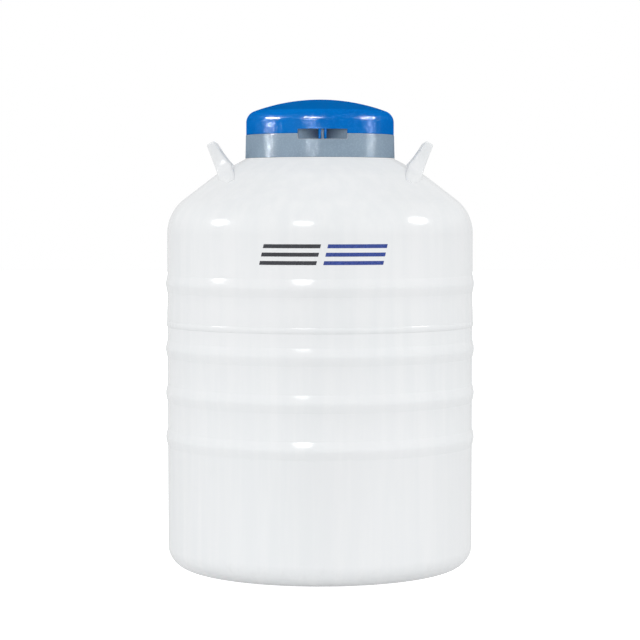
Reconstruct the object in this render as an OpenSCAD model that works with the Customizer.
// Liquid nitrogen storage dewar: a vacuum-insulated aluminium vessel with a narrow composite neck,
// six canisters hung from the neck, and a lockable lift-off cover on a plastic neck collar.
// +Z is up, the origin is the centre of the foot on the floor, and the front hasp faces -Y.

/* [Outer shell] */
// Radius of the plain cylindrical wall
body_r = 228; // [222:1:236]
// Height at which the straight wall turns into the shoulder
wall_top_z = 498; // [490:1:510]
// Radius of the rounded edge between foot and wall
foot_corner_r = 33; // [20:1:45]
// Radius of the knuckle between wall and shoulder
knuckle_r = 65; // [60:1:70]
// Slope of the main shoulder cone, in degrees from level
shoulder_a = 37.4; // [36:0.1:39]
// Slope of the upper shoulder cone under the collar, in degrees from level
neck_cone_a = 28; // [26:0.5:30]
// Radius at which the two shoulder cones start to blend
cone_blend_r = 160; // [156:1:164]
// Sheet thickness of the outer shell
shell_t = 3; // [2:0.5:4]
// Depth of the dished floor inside the foot ring
foot_dish_h = 12; // [8:1:16]

/* [Wall beads] */
// Height of the upper shell's bead
upper_bead_z = 424; // [415:1:435]
// Height of the top bead on the lower shell
lower_bead_z = 327.4; // [320:0.1:330]
// Spacing of the three lower beads
bead_pitch = 65.9; // [55:0.1:70]
// Width of a bead up the wall
bead_w = 27; // [20:1:32]
// How far a lower bead stands out of the wall
bead_h = 3; // [1.5:0.1:4]
// How far the upper bead stands out of the wall
upper_bead_h = 2.4; // [1.5:0.1:3]
// Height of the weld between the two shells
seam_z = 364.6; // [360:0.1:368]

/* [Inner vessel] */
// Outer radius of the inner vessel
inner_r = 166; // [160:1:168]
// Sheet thickness of the inner vessel
inner_t = 2; // [1.5:0.5:2.5]
// Height of the lowest point of the inner vessel
inner_floor_z = 47; // [44:1:52]
// Thickness of the multilayer insulation blanket
blanket_t = 18; // [12:1:24]

/* [Neck] */
// Bore radius of the neck tube
neck_r = 62.5; // [62:0.1:63]
// Wall thickness of the neck tube
neck_t = 2; // [1.5:0.5:2.5]
// Length of the neck tube
neck_len = 124; // [118:1:130]
// Outer radius of the welded neck ring
ring_r = 98; // [97:0.5:100]

/* [Collar and cover] */
// Outer radius of the collar
collar_r = 110.5; // [110:0.5:113]
// Height of the collar's top above the neck ring
collar_h = 28.3; // [28:0.1:32]
// Outer radius of the cover's skirt
cover_r = 110; // [109.5:0.5:112]
// Height of the cover above the collar
cover_h = 52.9; // [49:0.1:55]
// Radius of the cover's domed top
dome_r = 284; // [270:1:330]
// Radius of the rounded rim between skirt and dome
rim_r = 18; // [15:0.5:20]
// How far the collar and cover are turned from dead ahead, in degrees
cover_turn = 2; // [0:0.5:5]

/* [Hasp] */
// Width of the hasp window
window_w = 75; // [66:1:78]
// Depth of the window below the parting line, in the collar
window_down = 7.4; // [7:0.1:8]
// Height of the window above the parting line, in the cover
window_up = 6.2; // [5:0.1:6.5]
// Radius of the padlock hole through the ears and tongue
padlock_hole_r = 3.3; // [3:0.1:3.5]

/* [Handles] */
// Outward lean of the handles, in degrees
handle_a = 27.6; // [20:0.1:30]
// Distance from the vessel's axis to the middle of a handle's foot
handle_x = 141; // [140:1:146]
// Length of a handle above the shoulder
handle_l = 44; // [42:1:50]
// Distance between the middles of a handle's two legs
handle_span = 100; // [90:1:110]

/* [Canisters] */
// Number of canisters
canister_n = 6; // [6]
// Outer radius of a canister
cup_r = 48.5; // [44:0.5:48.5]
// Height of a canister
cup_h = 276; // [120:1:280]
// Height of a canister's floor when hung
cup_floor_z = 84; // [82:1:90]
// Distance from the vessel's axis to a hung stem
stem_r = 59.5; // [59.2:0.1:59.7]

/* [Hidden] */
$fn = 96;

enamel = [0.93, 0.93, 0.94];
grey_plastic = [0.53, 0.59, 0.65];
blue_plastic = [0.03, 0.42, 0.78];
gap = 0.1;          // clearance between pieces that are welded, bonded or screwed together
big = 500;          // longer than any piece, for cutting

// ---- shoulder: knuckle, main cone, blend, upper cone ----
blend_r = 80;
cone_start = [body_r - knuckle_r * (1 - sin(shoulder_a)), wall_top_z + knuckle_r * cos(shoulder_a)];
blend_start = [cone_blend_r, cone_start[1] + (cone_start[0] - cone_blend_r) * tan(shoulder_a)];
blend_c = blend_start - blend_r * [sin(shoulder_a), cos(shoulder_a)];
blend_end = blend_c + blend_r * [sin(neck_cone_a), cos(neck_cone_a)];

// ---- heights stacked on the neck ring's top face ----
deck_z = blend_end[1] + (blend_end[0] - ring_r) * tan(neck_cone_a);
ring_t = 10;
ring_lip_t = 4;
neck_top_z = deck_z - ring_lip_t - gap;
neck_low_z = neck_top_z - neck_len;
index_base_t = 3;
index_lip_top = deck_z + 14.7;
slot_floor_z = deck_z + 11.2;
flange_z = deck_z + 2.4;
parting_z = deck_z + collar_h;
apex_z = parting_z + cover_h;
liner_z = parting_z + 8.6;
liner_t = 3;
cover_t = 3;

// ---- lap joint between the two shells ----
lap_gap = 0.75;     // the upper shell's skirt is this much larger than the wall
lap_in = shell_t - lap_gap + gap;
lap_top = seam_z + 17;
skirt_top = seam_z + 20.4;
weld_w = 9;
weld_h = 1.2;

// ---- inner vessel ----
inner_knuckle = 40;
inner_dish_a = 12;
spigot_r = 67;
spigot_z = neck_low_z + 5;
inner_edge_r = inner_r - inner_knuckle * (1 - sin(inner_dish_a));
inner_low_z = inner_floor_z + inner_edge_r * tan(inner_dish_a / 2)
    + inner_knuckle * cos(inner_dish_a);
inner_high_z = spigot_z - (inner_edge_r - spigot_r) * tan(inner_dish_a)
    - inner_knuckle * cos(inner_dish_a);
inner_seam_z = inner_high_z - 10;
inner_weld_h = 2;

// ---- vacuum port on the back of the shoulder ----
port_r = 181;
port_z = cone_start[1] + (cone_start[0] - port_r) * tan(shoulder_a);
port_tube_r = 12;
port_flange_r = 17;
port_bore_r = 8;

// ---- hasp ----
pocket_floor_z = parting_z - window_down;
pocket_back_r = 83;
pocket_side_y = sqrt(pow(collar_r - shell_t, 2) - pow(window_w / 2, 2));
fence_t = 2.5;
ear_t = 3;
tongue_t = 3.2;
ear_gap = 1;
padlock_r = 100;
padlock_z = parting_z - 0.9;

// ---- canisters ----
cup_t = 1;
cup_pitch_r = stem_r + 2 + cup_r + gap;
rod_r = 2;
grip_w = 8;
grip_top_z = slot_floor_z + 8.5;

function arc(c, r, a0, a1, n = 8) =
    [for (i = [0:n]) let (a = a0 + (a1 - a0) * i / n) c + r * [cos(a), sin(a)]];

function reversed(list) = [for (i = [len(list) - 1:-1:0]) list[i]];

// Every wall outline takes an inset, so that one function gives both faces of the sheet.
function foot_line(inset) = let (shift = inset * tan(22.5), dish_r = 140) concat(
    [[0, foot_dish_h + inset], [dish_r + shift, foot_dish_h + inset],
     [dish_r + foot_dish_h + shift, inset]],
    arc([body_r - foot_corner_r, foot_corner_r], foot_corner_r - inset, -90, 0));

function bead_line(z, h, inset) = let (
        r = (pow(bead_w / 2, 2) + h * h) / (2 * h),
        a = acos((r - h - inset) / (r - inset)))
    arc([body_r + h - r, z], r - inset, -a, a);

function shoulder_line(inset, end_r) = concat(
    arc([body_r - knuckle_r, wall_top_z], knuckle_r - inset, 0, 90 - shoulder_a, 12),
    arc(blend_c, blend_r - inset, 90 - shoulder_a, 90 - neck_cone_a, 4),
    [[end_r, upper_cone_z(end_r) - inset / cos(neck_cone_a)]]);

function upper_cone_z(r) = blend_end[1] + (blend_end[0] - r) * tan(neck_cone_a);

function lower_shell_line(inset) = concat(
    foot_line(inset),
    [for (i = [2:-1:0], p = bead_line(lower_bead_z - i * bead_pitch, bead_h, inset)) p],
    [[body_r - inset, seam_z - 2], [body_r - inset - lap_in, seam_z - 2 + lap_in],
     [body_r - inset - lap_in, lap_top]]);

function upper_shell_line(inset) = concat(
    [[body_r + lap_gap - inset, seam_z + 2], [body_r + lap_gap - inset, skirt_top],
     [body_r - inset, skirt_top + 4]],
    bead_line(upper_bead_z, upper_bead_h, inset),
    shoulder_line(inset, ring_r + gap));

function tank_line(inset) = let (dish = inner_edge_r / sin(inner_dish_a))
    concat(
        arc([0, inner_floor_z + dish], dish - inset, -90, inner_dish_a - 90, 6),
        arc([inner_r - inner_knuckle, inner_low_z], inner_knuckle - inset, inner_dish_a - 90, 0));

function tank_top_line(inset) = arc(
    [inner_r - inner_knuckle, inner_high_z], inner_knuckle - inset, 0, 90 - inner_dish_a);

// A sheet of revolution between an outline and the same outline inset by its thickness
module sheet(outer, inner) {
    rotate_extrude() polygon(concat(outer, reversed(inner)));
}

module ring(r_in, r_out, z_low, z_high) {
    translate([0, 0, z_low]) difference() {
        cylinder(r = r_out, h = z_high - z_low);
        translate([0, 0, -1]) cylinder(r = r_in, h = z_high - z_low + 2);
    }
}

module around(count, first = 0) {
    for (i = [0:count - 1]) rotate(first + i * 360 / count) children();
}

module head() {
    rotate(cover_turn) children();
}

// The port's own frame: origin on the shoulder, +Z along the shoulder's outward normal
module port_frame() {
    translate([0, port_r, port_z]) rotate([-shoulder_a, 0, 0]) children();
}

// ---- outer vessel ----
module upper_shell() {
    color(enamel) difference() {
        sheet(upper_shell_line(0), upper_shell_line(shell_t));
        port_frame() translate([0, 0, -20]) cylinder(r = port_tube_r + gap, h = 40);
    }
}

module lower_shell() {
    color(enamel) sheet(lower_shell_line(0), lower_shell_line(shell_t));
}

module seam_weld() {
    low = [body_r + 0.03, seam_z - weld_w / 2];
    high = [body_r + lap_gap + 0.03, seam_z + weld_w / 2];
    root = 2;
    n = 6;
    cap = [for (i = [0:n]) low + (high - low) * i / n + [weld_h * sin(180 * i / n), 0]];
    color(enamel) rotate_extrude() polygon(concat(cap, [
        [high[0], seam_z + root - gap], [body_r - root, seam_z + root - gap],
        [body_r - root, seam_z + gap], [low[0], seam_z - root + gap]]));
}

// A cast handle: a grip bar on two legs, whose feet spread along the shoulder
module handle() {
    grip_w = 14;
    foot_w = 24;
    foot_z = upper_cone_z(handle_x);
    tip_a = 40;
    tip_r = 170;
    tip_z = cone_start[1] + (cone_start[0] - tip_r) * tan(shoulder_a);
    round_r = 3.2;
    module block(w, d, h, at) {
        translate(at) for (x = [-1, 1], y = [-1, 1], z = [-1, 1])
            translate([x * (w / 2 - round_r), y * (d / 2 - round_r), z * (h / 2 - round_r)])
                sphere(r = round_r, $fn = 18);
    }
    module leaning() {
        translate([handle_x, 0, foot_z]) rotate([0, handle_a, 0]) children();
    }
    leg_y = handle_span / 2;
    color(enamel) difference() {
        union() {
            leaning() hull() for (y = [-leg_y, leg_y])
                block(grip_w, grip_w, grip_w, [0, y, handle_l - grip_w / 2]);
            for (y = [-leg_y, leg_y]) {
                leaning() hull() {
                    block(grip_w - 0.4, grip_w - 0.4, grip_w, [0, y, handle_l - grip_w / 2 - 0.3]);
                    block(foot_w * 0.7, grip_w - 0.2, 10, [0, y, 16]);
                }
                hull() {
                    leaning() block(foot_w * 0.7 + 0.6, grip_w + 0.4, 10, [0, y, 15.3]);
                    leaning() block(foot_w, grip_w * 1.4, 12, [0, y, 0]);
                    rotate(sign(y) * tip_a) translate([tip_r, 0, tip_z])
                        rotate([0, shoulder_a, 0]) block(20, 12, 8, [0, 0, 0]);
                }
            }
        }
        rotate_extrude() polygon(concat([[0, wall_top_z - 60], [body_r + 1, wall_top_z - 60]],
            shoulder_line(-gap, 1)));
    }
}

module handle_right() { handle(); }
module handle_left() { mirror([1, 0, 0]) handle(); }

module data_plate() {
    color("silver") rotate([0, 0, 90 - 11]) rotate_extrude(angle = 22)
        translate([body_r + gap, 452]) square([0.8, 34]);
}

module plate_rivets() {
    color("gainsboro") for (a = [80.2, 99.8], z = [457, 481])
        rotate(a) translate([body_r + 1, 0, z]) rotate([0, 90, 0]) cylinder(r = 1.8, h = 0.9);
}

// ---- inner vessel, neck and vacuum space ----
module inner_vessel_tank() {
    color("lightgrey") sheet(
        concat(tank_line(0), [[inner_r, inner_seam_z]]),
        concat(tank_line(inner_t), [[inner_r - inner_t, inner_seam_z]]));
}

module inner_vessel_top() {
    low = inner_seam_z + gap;
    color("lightgrey") sheet(
        concat([[inner_r, low]], tank_top_line(0),
            [[spigot_r, spigot_z], [spigot_r, spigot_z + 18]]),
        concat([[inner_r - inner_t, low]], tank_top_line(inner_t),
            [[neck_r + neck_t + gap, spigot_z - inner_t], [neck_r + neck_t + gap, spigot_z + 18]]));
}

module inner_girth_weld() {
    color("gainsboro") ring(inner_r + 0.05, inner_r + inner_weld_h, inner_seam_z - 4, inner_seam_z + 4);
}

module neck_tube() {
    color("tan") ring(neck_r, neck_r + neck_t, neck_low_z, neck_top_z);
}

// Flat aluminium ring that joins the outer shell to the neck tube and carries the collar
module neck_ring() {
    color("silver") difference() {
        union() {
            ring(neck_r + neck_t + gap, ring_r, deck_z - ring_t, deck_z - ring_lip_t);
            ring(neck_r + neck_t + gap, neck_r + neck_t + 6, deck_z - ring_t - 7, deck_z - ring_lip_t);
            ring(neck_r, ring_r, deck_z - ring_lip_t, deck_z);
        }
        head() screw_circle() translate([0, 0, deck_z - 8]) cylinder(r = 2.5, h = 20);
    }
}

module insulation_blanket() {
    inside = -inner_weld_h - 0.5;
    outside = inside - blanket_t;
    throat_r = 92;
    throat_z = spigot_z - (throat_r - spigot_r) * tan(inner_dish_a);
    color("goldenrod") sheet(
        concat(tank_line(outside), tank_top_line(outside),
            [[throat_r, throat_z - outside / cos(inner_dish_a)]]),
        concat(tank_line(inside), tank_top_line(inside),
            [[throat_r, throat_z - inside / cos(inner_dish_a)]]));
}

// Bag of molecular sieve round the cold end of the neck
module adsorbent_pack() {
    r_in = spigot_r + 1;
    r_out = 90;
    color("beige") rotate_extrude() polygon([
        [r_in, spigot_z + gap], [r_out, spigot_z - (r_out - spigot_r) * tan(inner_dish_a) + 0.5],
        [r_out, spigot_z + 12], [r_out - 4, spigot_z + 16], [r_in, spigot_z + 16]]);
}

// Palladium oxide capsule under the neck ring
module getter_capsule() {
    r = 6;
    l = 36;
    color("peru") rotate(135) translate([84, 0, deck_z - ring_t - gap - l]) union() {
        translate([0, 0, r]) cylinder(r = r, h = l - r);
        translate([0, 0, r]) sphere(r = r);
    }
}

// Plate with fins on the tank's floor that keeps the hung canisters apart
module canister_spider() {
    plate_r = 136;
    plate_z = 66;
    color("silver") union() {
        ring(40, plate_r, plate_z, plate_z + 2);
        around(canister_n, 30) translate([56, -1, plate_z]) cube([76, 2, 54]);
    }
}

module vacuum_port() {
    color("gainsboro") port_frame() difference() {
        union() {
            translate([0, 0, -8]) cylinder(r = port_tube_r, h = 18);
            translate([0, 0, gap]) cylinder(r = port_flange_r, h = 10 - gap);
        }
        translate([0, 0, -10]) cylinder(r = port_bore_r, h = 30);
        translate([0, 0, 8]) cylinder(r1 = port_bore_r, r2 = port_bore_r + 2.5, h = 2.01);
    }
}

module vacuum_plug() {
    color("silver") port_frame() difference() {
        union() {
            translate([0, 0, -6]) cylinder(r = port_bore_r - gap, h = 15);
            translate([0, 0, 10 + gap]) cylinder(r = 10, h = 2.5);
            translate([0, 0, 8.9]) cylinder(r = port_bore_r - gap, h = 2);
        }
        rotate_extrude() hull() for (r = [port_bore_r - 1.2, port_bore_r + 1])
            translate([r, 0]) circle(r = 1.2, $fn = 32);
        translate([0, 0, 9]) cylinder(r = 2.5, h = 10);
    }
}

module vacuum_o_ring() {
    color("black") port_frame() rotate_extrude() translate([port_bore_r - 1.2, 0])
        circle(r = 1.1, $fn = 32);
}

module vacuum_cap() {
    r = 20;
    h = 19;
    t = 2;
    color(grey_plastic) port_frame() rotate_extrude() polygon(concat(
        [[0, h], [0, h - t], [r - t, h - t], [r - t, 1], [r, 1]],
        arc([r - 3, h - 3], 3, 0, 90, 5)));
}

// ---- collar ----
module screw_circle() {
    around(4, 45) translate([94, 0, 0]) children();
}

module hasp_places() {
    for (a = [0, 180]) rotate(a) children();
}

module pocket_plan(wall = 0) {
    half = window_w / 2 + wall;
    back = pocket_back_r - wall * 1.3;
    polygon([[-half, -collar_r - 5], [-half, wall - pocket_side_y], [0, -back],
             [half, wall - pocket_side_y], [half, -collar_r - 5]]);
}

module padlock_hole() {
    translate([-20, -padlock_r, padlock_z]) rotate([0, 90, 0]) cylinder(r = padlock_hole_r, h = 40);
}

module collar() {
    inner_wall_r = ring_r + 0.5;
    t = 3;
    under = gap + 0.1;
    color(grey_plastic) head() difference() {
        union() {
            rotate_extrude() polygon([
                [collar_r, upper_cone_z(collar_r) + under], [collar_r, parting_z],
                [inner_wall_r, parting_z], [inner_wall_r, flange_z + t], [86, flange_z + t],
                [86, flange_z], [91, flange_z], [91, deck_z + gap], [ring_r, deck_z + gap],
                [inner_wall_r + t, upper_cone_z(inner_wall_r + t) + under],
                [inner_wall_r + t, parting_z - t], [collar_r - t, parting_z - t],
                [collar_r - t, upper_cone_z(collar_r - t) + under]]);
            hasp_places() intersection() {
                translate([0, 0, pocket_floor_z - t]) linear_extrude(window_down + window_up + t)
                    pocket_plan(fence_t);
                union() {
                    cylinder(r = collar_r - gap, h = parting_z);
                    cylinder(r = cover_r - cover_t - 0.4, h = big * 2);
                }
            }
        }
        hasp_places() difference() {
            translate([0, 0, pocket_floor_z]) linear_extrude(50) pocket_plan();
            translate([-tongue_t / 2, -collar_r + 4, 0])
                cube([tongue_t, collar_r - pocket_back_r, parting_z + window_up - 1]);
        }
        hasp_places() padlock_hole();
        screw_circle() cylinder(r = 2.75, h = big * 2);
    }
}

module collar_screws() {
    color("silver") head() screw_circle() union() {
        translate([0, 0, deck_z - 7]) cylinder(r = 2.4, h = 7 + flange_z - deck_z + 4);
        translate([0, 0, flange_z + 3 + gap]) cylinder(r = 4.5, h = 2.6);
    }
}

// Slotted ring round the mouth that the canister grips hook over
module index_ring() {
    slot_w = 9;
    color("white") difference() {
        rotate_extrude() polygon([
            [neck_r + 3.5, deck_z + gap], [90, deck_z + gap], [90, deck_z + 1.6], [83, deck_z + 1.6],
            [83, deck_z + index_base_t], [80, deck_z + index_base_t], [80, index_lip_top],
            [76, index_lip_top], [76, deck_z + index_base_t], [neck_r + 3.5, deck_z + index_base_t]]);
        around(canister_n) translate([70, -slot_w / 2, slot_floor_z]) cube([20, slot_w, 20]);
    }
}

// ---- lift-off cover ----
function cover_line(inset) = let (
        a = asin((cover_r - rim_r) / (dome_r - rim_r)),
        rim_z = apex_z - dome_r + (dome_r - rim_r) * cos(a))
    concat(
        [[cover_r - inset, parting_z + gap]],
        arc([cover_r - rim_r, rim_z], rim_r - inset, 0, 90 - a),
        arc([0, apex_z - dome_r], dome_r - inset, 90 - a, 90, 10));

module liner_screw_circle() {
    around(6) translate([94, 0, 0]) children();
}

module cover_inside(inset) {
    rotate_extrude() polygon(concat([[0, parting_z + gap]], cover_line(inset)));
}

module lid_cover() {
    ear_low = pocket_floor_z + 0.5;
    ear_top = liner_z - 0.5;
    ear_x = tongue_t / 2 + ear_gap;
    color(blue_plastic) head() difference() {
        union() {
            difference() {
                sheet(cover_line(0), cover_line(cover_t));
                hasp_places() translate([-window_w / 2, -big, 0])
                    cube([window_w, big - 50, parting_z + window_up]);
            }
            hasp_places() for (x = [-ear_x - ear_t, ear_x])
                translate([x, -cover_r + 1, ear_low]) cube([ear_t, cover_r - 1 - 88, ear_top - ear_low]);
            intersection() {
                liner_screw_circle() translate([0, 0, liner_z + liner_t + gap])
                    cylinder(r = 5, h = 60);
                cover_inside(1);
            }
        }
        hasp_places() padlock_hole();
        liner_screw_circle() translate([0, 0, liner_z]) cylinder(r = 2.1, h = 14);
    }
}

module lid_foam() {
    color("ivory") head() difference() {
        intersection() {
            cover_inside(cover_t + 0.3);
            translate([0, 0, liner_z + liner_t + gap]) cylinder(r = big, h = 100);
        }
        liner_screw_circle() cylinder(r = 5.4, h = big * 2);
        cylinder(r = 9, h = liner_z + liner_t + 9);
    }
}

module lid_liner() {
    color("white") head() difference() {
        translate([0, 0, liner_z]) cylinder(r = cover_r - cover_t - 0.4, h = liner_t);
        liner_screw_circle() cylinder(r = 2.3, h = big * 2);
        cylinder(r = 4.2, h = big * 2);
    }
}

module liner_screws() {
    color("silver") head() liner_screw_circle() union() {
        translate([0, 0, liner_z]) cylinder(r = 2, h = 12);
        translate([0, 0, liner_z - 2.3]) cylinder(r = 4, h = 2.2);
        translate([0, 0, liner_z - 0.2]) cylinder(r = 2, h = 1);
    }
}

plug_r = 56;
plug_low_z = 505;

module neck_plug() {
    chamfer = 3;
    color("ivory") difference() {
        rotate_extrude() polygon([
            [4.2, plug_low_z], [plug_r - chamfer, plug_low_z], [plug_r, plug_low_z + chamfer],
            [plug_r, liner_z - gap], [4.2, liner_z - gap]]);
    }
}

module plug_end_plate() {
    color("white") ring(4.2, plug_r - 4, plug_low_z - 2 - gap, plug_low_z - gap);
}

// Composite rod that clamps the plug between its end plate and the liner
module plug_tie_rod() {
    low = plug_low_z - 2 - 2 * gap;
    high = liner_z + liner_t + gap;
    color("tan") union() {
        translate([0, 0, low - 3]) cylinder(r = 8, h = 3);
        translate([0, 0, low - 1]) cylinder(r = 4, h = high - low + 2);
        translate([0, 0, high]) cylinder(r = 8, h = 5, $fn = 6);
    }
}

// ---- canisters ----
module canister_place(k) {
    rotate((k - 1) * 360 / canister_n) children();
}

module canister_cup(k) {
    color("silver") canister_place(k) translate([cup_pitch_r, 0, cup_floor_z]) difference() {
        cylinder(r = cup_r, h = cup_h);
        translate([0, 0, cup_t]) cylinder(r = cup_r - cup_t, h = cup_h);
        around(4, 45) translate([26, 0, -1]) cylinder(r = 5, h = 4);
    }
}

module canister_stem(k) {
    low = cup_floor_z + cup_h - 60;
    color("silver") canister_place(k) translate([stem_r, 0, low])
        cylinder(r = rod_r, h = grip_top_z - 3 - low);
}

module canister_grip(k) {
    finger_z = slot_floor_z + 0.3;
    grip_in = plug_r + 1.5;
    grip_out = 84.5;
    hook_low = deck_z + index_base_t + 0.6;
    color("white") canister_place(k) difference() {
        union() {
            translate([grip_in, -grip_w / 2, finger_z])
                cube([grip_out - grip_in, grip_w, grip_top_z - finger_z]);
            translate([grip_out - 3, -grip_w / 2, hook_low]) cube([3, grip_w, finger_z - hook_low + 1]);
        }
        translate([stem_r, 0, finger_z - 1]) cylinder(r = rod_r + 0.05, h = grip_top_z - finger_z - 1.9);
    }
}

upper_shell();
lower_shell();
seam_weld();
handle_left();
handle_right();
inner_vessel_top();
inner_vessel_tank();
inner_girth_weld();
neck_tube();
neck_ring();
insulation_blanket();
adsorbent_pack();
getter_capsule();
canister_spider();
vacuum_port();
vacuum_plug();
vacuum_o_ring();
vacuum_cap();
collar();
collar_screws();
index_ring();
data_plate();
plate_rivets();
lid_cover();
lid_foam();
lid_liner();
liner_screws();
neck_plug();
plug_end_plate();
plug_tie_rod();
for (k = [1:canister_n]) {
    canister_cup(k);
    canister_stem(k);
    canister_grip(k);
}
